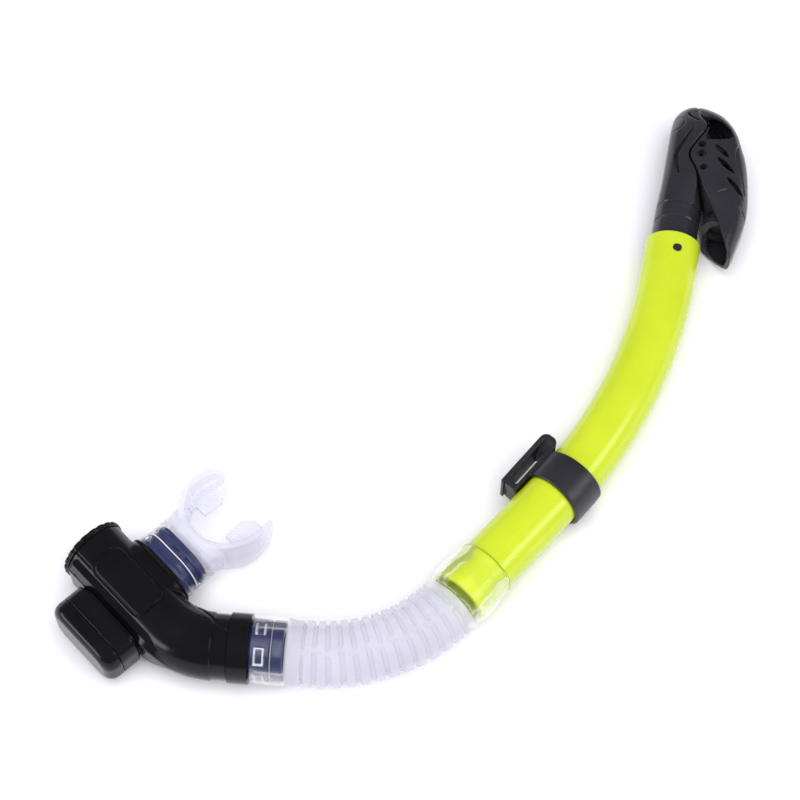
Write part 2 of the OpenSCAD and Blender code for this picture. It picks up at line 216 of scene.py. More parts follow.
def polygon(x, y, points):
    """Signed distance to a closed outline, negative inside."""
    ring = list(points) + [points[0]]
    inside = False
    for (ax, ay), (bx, by) in zip(ring, ring[1:]):
        if ay == by:
            continue
        crosses = (ay > y) != (by > y)
        inside = inside ^ (crosses & (x < (bx - ax) * (y - ay) / (by - ay) + ax))
    d = line_distance(x, y, ring)
    return np.where(inside, -d, d)


def shell_outline(x, y, z, edge, side, height, soft, crisp):
    """Signed field of a plate between two curves: soft along its side, crisp at its edge."""
    outline = polygon(x, y, edge + side[1:]) + 0.35
    to_side, to_edge = line_distance(x, y, side), line_distance(x, y, edge)
    beyond = (outline > 0.35) & (to_side <= to_edge)
    across = np.where(beyond, to_side, -to_side) + 0.35
    face = np.abs(z) - height
    return both(outline, both(across, face, soft), crisp), outline


def smooth(points, steps=6):
    """A smooth curve through the points."""
    p = [np.array(q, float) for q in points]
    p = [2 * p[0] - p[1]] + p + [2 * p[-1] - p[-2]]
    out = []
    for a, b, c, d in zip(p, p[1:], p[2:], p[3:]):
        for i in range(steps):
            t = i / steps
            out.append(0.5 * (
                2 * b + (c - a) * t + (2 * a - 5 * b + 4 * c - d) * t * t
                + (3 * b - 3 * c + d - a) * t ** 3
            ))
    out.append(p[-2])
    return [(float(q[0]), float(q[1])) for q in out]


# ---------------------------------------------------------------- meshes

CORNERS = [(i, j, k) for i in (0, 1) for j in (0, 1) for k in (0, 1)]
EDGES = [(a, b) for a in CORNERS for b in CORNERS if sum(b) - sum(a) == 1
         and sum(abs(p - q) for p, q in zip(a, b)) == 1]


def surface_nets(field, low, high, step):
    """Points and quads of the zero surface of a field over a box."""
    axes = [np.arange(a, b + step, step, dtype=np.float32) for a, b in zip(low, high)]
    shape = tuple(len(a) for a in axes)
    grid = np.meshgrid(*axes, indexing="ij", sparse=True)
    values = np.array(np.broadcast_to(field(*grid), shape), np.float32)
    solid = values < 0
    cells = tuple(n - 1 for n in shape)
    filled = np.zeros(cells, np.int8)
    for i, j, k in CORNERS:
        filled += solid[i:i + cells[0], j:j + cells[1], k:k + cells[2]]
    found = np.argwhere((filled > 0) & (filled < 8))
    total, hits = np.zeros((len(found), 3)), np.zeros(len(found))
    for a, b in EDGES:
        fa, fb = values[tuple((found + a).T)], values[tuple((found + b).T)]
        crossed = (fa < 0) != (fb < 0)
        t = np.where(crossed, fa / np.where(crossed, fa - fb, 1), 0)
        place = np.array(a) + t[:, None] * (np.array(b) - np.array(a))
        total += place * crossed[:, None]
        hits += crossed
    points = np.array([a[0] for a in axes]) + step * (found + total / hits[:, None])
    for _ in range(3):
        points = points - pull(field, points, step)
    number = np.full(cells, -1, np.int64)
    number[tuple(found.T)] = np.arange(len(found))
    quads = []
    for axis in range(3):
        u, v = (axis + 1) % 3, (axis + 2) % 3
        near, far = [slice(None)] * 3, [slice(None)] * 3
        near[axis], far[axis] = slice(0, -1), slice(1, None)
        change = solid[tuple(near)] != solid[tuple(far)]
        at = np.argwhere(change)
        keep = (at[:, u] > 0) & (at[:, v] > 0) & (at[:, u] < cells[u]) & (at[:, v] < cells[v])
        at = at[keep]
        outward = solid[tuple(at.T)]
        ring = []
        for du, dv in ((-1, -1), (0, -1), (0, 0), (-1, 0)):
            c = at.copy()
            c[:, u] += du
            c[:, v] += dv
            ring.append(number[tuple(c.T)])
        ring = np.stack(ring, 1)
        quads.append(np.where(outward[:, None], ring, ring[:, ::-1]))
    return points, np.concatenate(quads)


def pull(field, points, step):
    """The move that brings each point onto the surface."""
    e = 0.03
    x, y, z = points.T
    value = field(x, y, z)
    slope = np.stack([
        field(x + e, y, z) - field(x - e, y, z),
        field(x, y + e, z) - field(x, y - e, z),
        field(x, y, z + e) - field(x, y, z - e),
    ], 1) / (2 * e)
    size = np.maximum((slope ** 2).sum(1), 0.2)
    move = (value / size)[:, None] * slope
    far = np.linalg.norm(move, axis=1)
    return move * np.minimum(1, 0.5 * step / np.maximum(far, 1e-9))[:, None]


def make_mesh(name, points, faces, sharp=None):
    mesh = bpy.data.meshes.new(name)
    mesh.from_pydata(np.asarray(points).tolist(), [], np.asarray(faces).tolist())
    mesh.validate()
    mesh.shade_smooth()
    if sharp:
        mesh.set_sharp_from_angle(angle=math.radians(sharp))
    obj = bpy.data.objects.new(name, mesh)
    bpy.context.scene.collection.objects.link(obj)
    return obj


def moulded(name, place, field, low, high, step=0.5, finish=None):
    """A moulded piece from a distance field; finish gives the material of each face."""
    points, quads = surface_nets(field, low, high, step)
    obj = make_mesh(name, place.world(points), quads)
    if finish:
        marks = finish(*points[quads].mean(1).T).astype(np.int32)
        obj.data.polygons.foreach_set("material_index", marks)
    return obj


def dress(obj, body, material, slot, *nodes):
    obj.data.materials.append(material)
    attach(obj, body)
    if nodes:
        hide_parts(*nodes)
    return obj


# ---------------------------------------------------------------- materials

def shader(name, color, roughness, **inputs):
    """A Principled material and the nodes that vary it."""
    material = bpy.data.materials.new(name)
    material.use_nodes = True
    nodes, links = material.node_tree.nodes, material.node_tree.links
    surface = nodes["Principled BSDF"]
    surface.inputs["Roughness"].default_value = roughness
    for key, value in inputs.items():
        surface.inputs[key.replace("_", " ")].default_value = value
    surface.inputs["Base Color"].default_value = (*color, 1)
    return material, nodes, links, surface


def noise(nodes, links, scale, detail=4.0, stretch=None):
    coords = nodes.new("ShaderNodeTexCoord")
    source = coords.outputs["Object"]
    if stretch:
        mapping = nodes.new("ShaderNodeMapping")
        mapping.inputs["Scale"].default_value = stretch
        links.new(source, mapping.inputs["Vector"])
        source = mapping.outputs["Vector"]
    texture = nodes.new("ShaderNodeTexNoise")
    texture.inputs["Scale"].default_value = scale
    texture.inputs["Detail"].default_value = detail
    links.new(source, texture.inputs["Vector"])
    return texture.outputs["Fac"]


def ranged(nodes, links, value, low, high, at=(0.3, 0.7)):
    node = nodes.new("ShaderNodeMapRange")
    node.inputs["From Min"].default_value, node.inputs["From Max"].default_value = at
    node.inputs["To Min"].default_value, node.inputs["To Max"].default_value = low, high
    links.new(value, node.inputs["Value"])
    return node.outputs["Result"]


def toned(nodes, links, value, dark, light):
    mix = nodes.new("ShaderNodeMix")
    mix.data_type = "RGBA"
    mix.inputs["A"].default_value, mix.inputs["B"].default_value = (*dark, 1), (*light, 1)
    links.new(value, mix.inputs["Factor"])
    return mix.outputs["Result"]


def bumped(nodes, links, surface, height, strength, distance):
    bump = nodes.new("ShaderNodeBump")
    bump.inputs["Strength"].default_value = strength
    bump.inputs["Distance"].default_value = distance
    links.new(height, bump.inputs["Height"])
    links.new(bump.outputs["Normal"], surface.inputs["Normal"])


def plastic(name, dark, light, smooth_at, rough_at, ripple=0.00002, grain=900, **inputs):
    """Moulded plastic: slightly clouded colour, uneven gloss, faint ripples and scuffs."""
    material, nodes, links, surface = shader(name, light, smooth_at, **inputs)
    cloud = ranged(nodes, links, noise(nodes, links, 45), 0, 1)
    links.new(toned(nodes, links, cloud, dark, light), surface.inputs["Base Color"])
    scuff = noise(nodes, links, 260, 6, (1, 4, 1))
    links.new(ranged(nodes, links, scuff, smooth_at, rough_at), surface.inputs["Roughness"])
    bumped(nodes, links, surface, noise(nodes, links, grain, 2), 0.5, ripple)
    return material


def silicone(name, dark, light, roughness, alpha, ior=1.42, ripple=0.00003, **inputs):
    """Soft clear silicone: a pale veil over what lies behind it."""
    material, nodes, links, surface = shader(
        name, light, roughness, Alpha=alpha, IOR=ior, **inputs)
    cloud = ranged(nodes, links, noise(nodes, links, 70, 5), 0, 1)
    links.new(toned(nodes, links, cloud, dark, light), surface.inputs["Base Color"])
    scuff = noise(nodes, links, 400, 4)
    links.new(ranged(nodes, links, scuff, roughness, roughness + 0.1),
              surface.inputs["Roughness"])
    bumped(nodes, links, surface, noise(nodes, links, 500, 3), 0.5, ripple)
    return material


GLOSS_BLACK = plastic("gloss_black", (0.003, 0.003, 0.0035), (0.006, 0.006, 0.007), 0.13, 0.22,
                      Specular_IOR_Level=0.22)
TOP_BLACK = plastic("dry_top_black", (0.016, 0.0155, 0.019), (0.026, 0.025, 0.031), 0.2, 0.3,
                    Specular_IOR_Level=0.45)
KEEPER_BLACK = plastic("keeper_black", (0.012, 0.012, 0.015), (0.02, 0.02, 0.025), 0.32, 0.45,
                       0.00004, 1500)
YELLOW = plastic("barrel_yellow", (0.54, 0.66, 0.018), (0.59, 0.71, 0.028), 0.14, 0.24,
                 Subsurface_Weight=0.25, Subsurface_Radius=(0.006, 0.008, 0.001),
                 Subsurface_Scale=0.5)
BLUE = plastic("coupler_blue", (0.022, 0.028, 0.085), (0.032, 0.041, 0.115), 0.2, 0.26,
               0.000006)
MILKY = silicone("milky_silicone", (0.74, 0.73, 0.83), (0.82, 0.81, 0.90), 0.1, 0.38)
CLEAR = silicone("cuff_silicone", (0.93, 0.95, 0.92), (0.97, 0.98, 0.97), 0.05, 0.35,
                 Transmission_Weight=1.0)
# Whitish silicone: a painted highlight for the light lines over the coupler's frames and groove and along the
# mouthpiece ring's ridge.
PAINTED_HIGHLIGHT = silicone("painted_highlight_silicone", (0.74, 0.73, 0.80), (0.82, 0.81, 0.88), 0.3, 0.85)
BITE = silicone("bite_silicone", (0.74, 0.73, 0.86), (0.80, 0.79, 0.91), 0.14, 0.35)
SKIRT = silicone("skirt_silicone", (0.93, 0.94, 0.95), (0.97, 0.97, 0.98), 0.05, 0.25, 1.08,
                 0.000004, Transmission_Weight=1.0)
LINING = silicone("cuff_lining", (0.53, 0.65, 0.018), (0.59, 0.71, 0.04), 0.3, 0.92)
RUBBER = plastic("seal_rubber", (0.012, 0.012, 0.012), (0.025, 0.025, 0.025), 0.55, 0.7,
                 0.00005, 2500)
SEAL_CLEAR = silicone("seal_silicone", (0.6, 0.6, 0.62), (0.7, 0.7, 0.72), 0.3, 0.7)
INNER = plastic("inner_grey", (0.02, 0.02, 0.024), (0.035, 0.035, 0.04), 0.35, 0.5)
STEEL = plastic("pin_steel", (0.5, 0.5, 0.52), (0.62, 0.62, 0.64), 0.2, 0.35, Metallic=1.0)

MATERIALS = {
    "gloss_black": GLOSS_BLACK, "keeper_black": KEEPER_BLACK, "barrel_yellow": YELLOW,
    "coupler_blue": BLUE, "clear_silicone": MILKY, "seal_rubber": RUBBER,
    "seal_silicone": SEAL_CLEAR, "inner_grey": INNER, "float_grey": INNER, "pin_steel": STEEL,
}


def dress_nodes():
    """Every CAD node gets the finish of its slot."""
    for part in frame["record"]["subparts"]:
        data = frame["nodes"][part["node"]].data
        data.materials.clear()
        data.materials.append(MATERIALS[part["material_slot"]])


# ---------------------------------------------------------------- mouthpiece chamber

TANGENT = ELBOW_R * math.tan(math.radians(ELBOW_BEND / 2))
ELBOW_ARC = math.radians(ELBOW_BEND) * ELBOW_R
AXIS_R = 16.5


def chamber_route(x, y):
    """Way along the chamber's bent axis, from where its bend starts, and offset from it."""
    cx, cy = TANGENT, -ELBOW_R
    end = math.radians(90 + ELBOW_BEND)
    px, py = cx + ELBOW_R * math.cos(end), cy + ELBOW_R * math.sin(end)
    dx, dy = -math.sin(end), math.cos(end)
    along = (x - px) * dx + (y - py) * dy
    turn = np.arctan2(y - cy, x - cx) - math.pi / 2
    s = np.where(x > cx, cx - x, np.where(along > 0, ELBOW_ARC + along, turn * ELBOW_R))
    q = np.where(x > cx, y, np.where(
        along > 0, (x - px) * math.cos(end) + (y - py) * math.sin(end),
        length(x - cx, y - cy) - ELBOW_R))
    return s, q


def leg_station(distance):
    """Way along the route of a point that far from the elbow's corner, down the leg."""
    return ELBOW_ARC + distance - TANGENT


def housing_field(x, y, z):
    s, q = chamber_route(x, y)
    rho = length(q, z)
    cap = TANGENT - CAP_AT
    body = both(rho - CHAMBER_R, span(s, cap, leg_station(14.5)), 0.5)
    body = either(body, both(rho - 15.4, span(s, leg_station(12), leg_station(22.2)), 0.2))
    body = either(body, both(rho - 15, span(s, leg_station(20), leg_station(30)), 0.2))
    # flat plate that carries the purge box
    narrow = ease((12 - x) / 22)
    top, half = 16.8 - 1.0 * narrow, 11.2 - 7.5 * narrow
    plate = both(span(q, 7, top), np.abs(z) - half, 0.5)
    chamfer = (q - top + np.abs(z) - half) * math.sqrt(0.5) + 2.1
    plate = both(plate, chamfer, 0.4)
    plate = both(plate, span(x, -12, CAP_AT - 1.5), 1.3)
    body = either(body, plate, 0.7)
    # flange of the mouthpiece port
    flange = both(stadium(x - PORT_AT, z, 39, 25), span(-y, 8, 17.5), 0.8)
    body = either(body, flange, 1.5)
    body = groove(body, span(-y, 15.3, 15.5) - 0.2, 0.5, 0.4)
    # raised grip pads, with the seam round them
    pad = rounded(x - 35.5, y - 0.8, 35, 16.5, 4.5)
    body = np.minimum(body, both(pad, rho - AXIS_R, 0.3))
    body = groove(body, np.where(np.abs(pad) < 2, pad - 0.3, 2), 0.45, 0.35)
    # seam from the pad to the cap
    seam = both(np.abs(y - 9) - 0.3, span(x, 53, CAP_AT))
    body = without(body, both(seam, np.abs(rho - 16) - 0.3))
    # notch at the inside of the bend
    notch = length((s - 15) / 3.4, (q + 14.6) / 1.5, (np.abs(z) - 6.3) / 1.6) - 1
    body = without(body, notch * 1.5, 0.2)
    # snap recess near the cap on the plate's edge
    snap = length((x - 57) / 2, (y - 17) / 1.1, (np.abs(z) - 10.5) / 2.2) - 1
    body = without(body, snap * 1.1, 0.2)
    bore = both(rho - CHAMBER_BORE_R, span(s, cap - 5, leg_station(20)))
    bore = either(bore, both(rho - 13.1, s - leg_station(27)))
    bore = either(bore, both(rho - 13.8, span(s, leg_station(26), leg_station(40))))
    port = both(stadium(x - PORT_AT, z, 31, 17), span(-y, 2, 20))
    purge = both(length(x - PURGE_AT, z) - 8.5, span(y, 6, 20))
    return without(body, either(bore, either(port, purge)), 0.3)


def cap_field(x, y, z):
    rho = length(y, z)
    disc = both(rho - AXIS_R, span(x, CAP_AT + 0.05, CAP_AT + 3), 0.7)
    disc = groove(disc, span(x, CAP_AT + 1.1, CAP_AT + 1.2), 0.5, 0.3)
    # notched grip all round the rim
    teeth = 20
    turn = np.arctan2(z, y) * teeth / (2 * math.pi)
    off = np.abs(turn - np.round(turn)) * 2 * math.pi * AXIS_R / teeth
    notch = both(off - 0.9, both(15.6 - rho, CAP_AT + 1.6 - x))
    disc = without(disc, notch, 0.2)
    # dished face with a grip bar across it
    dish = both(rho - 12.5, CAP_AT + 2.1 - x, 0.5)
    disc = without(disc, without(dish, both(np.abs(y) - 1.6, np.abs(z) - 14, 0.4), 0.4), 0.3)
    plug = both(rho - CHAMBER_BORE_R + 0.1, span(x, CAP_AT - 6, CAP_AT + 1), 0.3)
    plug = without(plug, both(rho - 12, span(x, CAP_AT - 9, CAP_AT - 0.4)))
    seat = both(12.7 - rho, span(x, CAP_AT - 4.2, CAP_AT - 2))
    return either(disc, without(plug, seat))


def purge_outline(x, z):
    return rounded(x - PURGE_AT, z, 43, 27, 10)


def purge_body_field(x, y, z):
    outline = purge_outline(x, z)
    box = both(outline, span(y, 18, 27.3), 0.35)
    box = either(box, both(outline + 1.4, span(y, 16.85, 19), 0.2), 0.5)
    box = without(box, both(outline + 2, span(y, 19, 30), 0.5))
    hub = length(x - PURGE_AT, z)
    spokes = np.minimum(np.abs(x - PURGE_AT), np.abs(z)) - 0.8
    holes = both(hub - 7.5, span(y, 15, 20.5))
    holes = without(without(holes, hub - 2.6), spokes)
    return without(without(box, holes), both(hub - 1.3, span(y, 15, 21)))


def purge_cover_field(x, y, z):
    outline = purge_outline(x, z)
    shell = both(outline, span(y, 27.5, 36), 5.5)
    shell = either(shell, both(outline, span(y, 27.5, 31), 0.35))
    inner = both(rounded(x - PURGE_AT, z, 39, 23, 8), span(y, 26, 34), 4)
    shell = without(shell, inner)
    # vent slots in the lower wall
    for shift in (-10.5, -3.5, 3.5, 10.5):
        slot = both(stadium(x - PURGE_AT - shift, y - 30, 3.4, 2), z + 10, 0.2)
        shell = without(shell, slot, 0.2)
    return shell


def oval(a, z, p, size, ends, edge=0.0):
    """A block of stadium section, size across, between two distances from the chamber's axis."""
    return both(stadium(a, z, *size), span(p, *ends), edge)


def ring_field(x, y, z):
    """Stepped blue cuff that the mouthpiece is stretched over."""
    a, p = x - PORT_AT, -y
    cuff = oval(a, z, p, (32.2, 20.8), (19.5, 31), 0.4)
    cuff = either(cuff, oval(a, z, p, (35, 23.4), (17.55, 20), 0.5), 0.4)
    cuff = either(cuff, oval(a, z, p, (33.6, 22.2), (27, 29), 0.3), 0.2)
    cuff = either(cuff, oval(a, z, p, (33.2, 21.8), (23, 24), 0.3), 0.2)
    cuff = either(cuff, oval(a, z, p, (30.8, 16.8), (9.5, 18), 0.3))
    for shift in (-9, 0, 9):
        window = both(rounded(a - shift, p - 25.5, 4.6, 2.4, 0.3), 9.4 - np.abs(z))
        cuff = without(cuff, window, 0.15)
    for side in (-1, 1):
        window = both(rounded(z, p - 25.5, 4.6, 2.4, 0.3), 14.6 - side * a)
        cuff = without(cuff, window, 0.15)
    return without(cuff, oval(a, z, p, (27, 13), (5, 35)), 0.4)


def mouthpiece_field(x, y, z):
    a, p = x - PORT_AT, -y
    arc_p, arc_r, half = 58.0, 21.0, 1.35
    skirt = oval(a, z, p, (35.4, 24), (18.2, 34), 0.5)
    skirt = either(skirt, oval(a, z, p, (36.6, 25.2), (17.8, 20.6), 0.6), 0.3)
    skirt = either(skirt, oval(a, z, p, (36.0, 24.6), (30.6, 31.8), 0.5), 0.4)
    # wings: a curved band, rounded at its tips
    turn = np.arctan2(a, arc_p - p)
    radius = length(a, arc_p - p)
    way = turn * arc_r
    tip = arc_r * math.radians(128)
    thick = half * (1.25 - 0.35 * np.clip(np.abs(way) / tip, 0, 1))
    narrow = 1 + 0.35 * ease(2 * np.abs(way) / tip - 1)
    wing = both(rounded(way, z * narrow, 2 * tip, 25, 10.5), np.abs(radius - arc_r) - thick, 0.9)
    neck = both(both(stadium(a, z, 34 + 0.5 * (p - 34), 22.5), span(p, 32, 40), 0.5),
                arc_r - radius, 0.5)
    shape = either(either(skirt, neck, 1.5), wing, 3.5)
    # bite tabs, with a pebbled grip on both faces
    for side in (-1, 1):
        outline = polygon(a * side, p, [
            (19.8, 48.5), (12.5, 46.2), (7.4, 49.5), (6.8, 60.8), (10.8, 65.8), (19.8, 66.5)])
        pebble = 0.28 * np.cos(a * 2.9) * np.cos(p * 2.9)
        shape = either(shape, both(outline, np.abs(z) - 1.35 - pebble, 0.5), 1.0)
    hollow = oval(a, z, p, (32.8, 21.4), (15, 31.2))
    hollow = either(hollow, oval(a, z, p, (35.3, 23.7), (15, 20.2)))
    hollow = either(hollow, oval(a, z, p, (33.9, 22.5), (26.8, 29.2)))
    hollow = either(hollow, oval(a, z, p, (27, 13), (25, 50)), 1.0)
    return without(shape, hollow, 0.4)


def skirt_finish(x, y, z):
    """Finish of each face: 1 on the clear skirt, 2 on a painted highlight line round it over the ring's ridge, 0
    elsewhere.
    """
    highlight_line_at, highlight_line_half, skirt_end = 24.0, 0.35, 33
    return np.where(np.abs(y + highlight_line_at) < highlight_line_half, 2, y > -skirt_end)


def make_chamber():
    black, ride = GLOSS_BLACK, "chamber"
    dress(moulded("housing", ELBOW, housing_field, (-27, -26, -17.2), (66, 18.5, 17.2), 0.45),
          ride, black, "gloss_black", "chamber_housing")
    dress(moulded("cap", ELBOW, cap_field, (57, -17.5, -17.5), (68, 17.5, 17.5), 0.45),
          ride, black, "gloss_black", "end_cap")
    dress(moulded("purge_base", ELBOW, purge_body_field, (8.5, 16, -14.5), (53.5, 28.5, 14.5)),
          ride, black, "gloss_black", "purge_body")
    dress(moulded("purge_lid", ELBOW, purge_cover_field, (8.5, 26.5, -14.5), (53.5, 37, 14.5)),
          ride, black, "gloss_black", "purge_cover")
    dress(moulded("mouth_cuff", ELBOW, ring_field, (16, -32, -13), (54, -9, 13), 0.4),
          ride, BLUE, "coupler_blue", "mouthpiece_ring")
    grip = moulded("bite", ELBOW, mouthpiece_field, (11, -82, -13.5), (59, -17, 13.5), 0.45,
                   finish=skirt_finish)
    dress(grip, ride, BITE, "clear_silicone", "mouthpiece")
    grip.data.materials.append(SKIRT)
    # third finish: the painted highlight line over the ring's ridge
    grip.data.materials.append(PAINTED_HIGHLIGHT)


# ---------------------------------------------------------------- keeper

def keeper_field(x, y, z):
    s = np.arctan2(x, BARREL_BEND_R - y) * BARREL_BEND_R
    rho = length(BARREL_BEND_R - length(x, y - BARREL_BEND_R), z)
    band = both(rho - 16.45, span(s, -8.6, 8.6), 0.9)
    # loop for the mask strap: round at its upper end, square at its lower
    corner = np.where(x > -2, 3.7, 0.8)
    qx, qy = np.abs(x + 2.2) - 17.25 + corner, np.abs(y - 18.9) - 4.4 + corner
    outline = length(np.maximum(qx, 0), np.maximum(qy, 0)) + np.minimum(np.maximum(qx, qy), 0)
    outline = outline - corner
    loop = both(outline, span(z, -8.3, 8.0), 0.6)
    slot = both(rounded(x + 4.9, y - 18.5, 22.5, 4.8, 0.7), span(z, -20, 20))
    # sunk ramp between the slot and the round end
    ramp = both(rounded(x - 8.5, y - 18.6, 9, 4.2, 1.6), 2.2 + 0.75 * (x - 5) - z)
    # step at the lower end, between the outer bar and the end block
    step = both(np.abs(y - 21.0) - 0.5, both(x + 18.0, span(z, -12, 12)))
    low = both(y - 20.9, both(x + 18.2, span(z, -12, 4)))
    loop = without(without(without(loop, slot, 0.4), ramp, 0.4), either(step, low), 0.2)
    bore = rho - BARREL_R - 0.08
    return without(either(band, loop, 1.2), bore, 0.5)


def make_keeper():
    dress(moulded("keeper", KEEPER, keeper_field, (-20.5, -17.5, -17.5), (16.5, 24.5, 17.5), 0.4),
          "keeper", KEEPER_BLACK, "keeper_black", "keeper_ring")


# ---------------------------------------------------------------- dry top

# Outlines in the dry top's own frame: +X towards its nose, from the barrel's end
BODY_EDGE = [
    (4, -11.2), (14, -11.5), (22.1, -12.0), (26.6, -10.4), (32.6, -8.1), (39.9, -4.7),
    (46.4, -1.2), (51.5, -1.3), (58.7, -4.5), (63.5, -7.2), (68.8, -7.5), (74.8, -4.1),
    (78.5, -3.1), (82, -2.4), (84.5, -1.4), (86, -0.6),
]
CASING_SIDE = [
    (86, -0.6), (85.9, 2.2), (83.8, 6.6), (79, 9.8), (71, 11), (48, 11.3), (20, 11.4),
    (4, 11.0),
]
HOOD_SIDE = [
    (86, -0.6), (85.7, -4), (83.4, -10), (79.5, -16.5), (73, -21.6), (66.8, -24.9), (60.4, -27.5),
    (54.7, -30.1), (47.4, -32.3), (39.3, -33.8), (28.3, -35.2), (20, -35.2), (12, -34.2),
    (4, -32.6), (-3, -31.2), (-6.8, -29.5),
]
WINDOW = [
    (73.8, -5.0), (74.2, -9.5), (72.2, -14.4), (67.6, -19.2), (62.6, -21.6), (60.4, -19.5),
    (58.6, -14.5), (57.6, -8.2), (60.5, -7.9), (64.5, -8.7), (69.5, -8.4),
]
VENTS = [((52, -16.8), 52, 10.5), ((43.9, -19.8), 54, 12.7), ((32.9, -26), 48, 13.3)]
DIMPLES = [((54.3, -6.4), 1.8), ((48.6, -6.8), 2.3), ((40.3, -8.8), 1.8)]


def crown(x, y):
    """Half height of the dry top: crowned across, lower towards its nose and its lip."""
    across = 16.2 - (40.0 - np.sqrt(1600.0 - np.clip(y + 12, -39, 39) ** 2))
    return across - 8.5 * ease((x - 62) / 28) - 4.0 * ease((14 - x) / 24)


def casing_field(x, y, z):
    edge, side = smooth(BODY_EDGE, 5), smooth(CASING_SIDE, 5)
    shape, _ = shell_outline(x, y, z, edge, side, crown(x, y), 6.0, 1.2)
    neck = length(y, z) - 11.6
    blend = ease((x - 15) / 25)
    shape = both((1 - blend) * neck + blend * shape, span(x, -16, 90), 0.4)
    shape = groove(shape, x - 11.3, 0.5, 0.4)
    shape = groove(shape, x - 20.1, 0.5, 0.4)
    # flowing grooves over the casing
    flow = line_distance(x, y, smooth([
        (65.8, -1.2), (58.1, 2.3), (49.4, 5.5), (42.3, 4.9), (36.4, 3.2)]))
    width = 1.05 * np.clip(1 - ((x - 50) / 17.0) ** 2, 0.15, 1)
    shape = groove(shape, flow, 2.2, width)
    nose = line_distance(x, y, smooth([(77, 2.6), (74, 1.0), (70.8, -2.8)]))
    shape = groove(shape, nose, 1.6, 0.6)
    pad = length((x - 69.5) / 5.2, (y - 8.2) / 4.2) - 1
    shape = groove(shape, pad * 4.2, 0.3, 0.3)
    peg = length(x + 9.2, y + 2.2) - 2.2
    shape = either(shape, both(peg, both(z - 14.15, -z, 0)), 0.2)
    bore = both(length(y, z) - 10, span(x, -20, 34))
    bore = either(bore, both(length(y - 0.8, z) - 7.8, span(x, 30, 72), 3))
    port = both(length(y + 17, z) - 5.5, span(x, 49, 60))
    seat = both(length(y + 17, z) - 7.5, span(x, 50, 62), 0.5)
    seat = either(seat, both(length(x - 56, z) - 5.5, span(y, -17, 1)), 0.5)
    port = either(port, both(length(x - 56, z) - 4, span(y, -17, 3)))
    return without(either(shape, seat), either(bore, port), 0.3)


def hood_field(x, y, z):
    edge, side = smooth(BODY_EDGE, 5)[10:], smooth(HOOD_SIDE, 5) + [(-3, -17)]
    height = crown(x, y)
    shape, outline = shell_outline(x, y, z, edge, side, height, 6.5, 1.0)
    inner = both(outline + 1.85, np.abs(z) - height + 1.9, 4.5)
    solid = shape
    shape = without(shape, inner, 0.4)
    # open mouth towards the barrel, its upper lip cut back further than its lower
    ax, ay = 15 + 0.45 * z, -14.9 + 0.08 * z
    bx, by = -6.5, -29.6
    size = np.sqrt((ax - bx) ** 2 + (ay - by) ** 2)
    across = ((x - bx) * (ay - by) - (y - by) * (ax - bx)) / size
    rim = both(solid, np.abs(across + 0.6) - 0.9, 0.3)
    shape = either(shape, without(rim, inner + 1.0, 0.2), 0.3)
    shape = without(shape, across, 0.4)
    # edge bulge and creases
    bulge = line_distance(x, y, smooth([
        (60, -26), (55.5, -24.6), (49.4, -24.9), (40.7, -28.3), (30.5, -31.6)]))
    shape = groove(shape, bulge, 0.45, 0.45)
    crease = line_distance(x, y, [(26.4, -18.1), (29.2, -21.9), (21.5, -30.5), (16.5, -36)])
    shape = groove(shape, crease, 0.45, 0.4)
    short = line_distance(x, y, [(37.4, -13.8), (31.3, -19.3)])
    shape = groove(shape, short, 0.45, 0.4)
    # three slanting vents with a raised lip
    for at, turn, size in VENTS:
        u, v = turned(x, y, at, turn)
        lens = np.abs(v) - 1.5 * (1 - (2 * u / size) ** 2)
        shape = ridge(shape, np.where(lens > -0.6, lens - 0.5, 9), 0.3, 0.35)
        shape = without(shape, both(lens, 5 - np.abs(z)), 0.35)
    # dimples over the rivets
    for at, r in DIMPLES:
        hole = length(x - at[0], y - at[1]) - r
        floor = height - 1.4
        shape = either(shape, both(hole - 0.9, both(np.abs(z) - floor - 1.4, 8 - np.abs(z))))
        shape = without(shape, both(hole, floor - np.abs(z)), 0.4)
    window = polygon(x, y, WINDOW)
    shape = without(shape, both(window, 4 - np.abs(z)), 0.8)
    return without(shape, both(length(y, z) - 11.9, x - 40))


def make_dry_top():
    dress(moulded("casing", TOP, casing_field, (-17, -26, -17), (88, 13, 17), 0.5),
          "barrel", TOP_BLACK, "gloss_black", "top_body")
    dress(moulded("hood", TOP, hood_field, (-9, -37, -17), (88, 0.5, 17), 0.5),
          "barrel", TOP_BLACK, "gloss_black", "top_hood")


# ---------------------------------------------------------------- hose

class Route:
    """Hose route from the spigot's rim down to the collar: straight, bend, straight."""

    def __init__(self, lead, tail):
        self.lead, self.tail = lead, tail
        self.arc = math.radians(HOSE_BEND) * HOSE_BEND_R
        self.total = lead + self.arc + tail

    def at(self, s):
        """Middle point and outward normal, in the flat frame of the spigot's rim."""
        x0 = -self.lead
        if s <= self.lead:
            return (-s, 0.0), 0.0
        turn = min((s - self.lead) / HOSE_BEND_R, math.radians(HOSE_BEND))
        x = x0 - HOSE_BEND_R * math.sin(turn)
        y = HOSE_BEND_R - HOSE_BEND_R * math.cos(turn)
        rest = max(s - self.lead - self.arc, 0)
        return (x - rest * math.cos(turn), y + rest * math.sin(turn)), -turn


HOSE_ROUTE = Route(lead=3.5, tail=28.0)


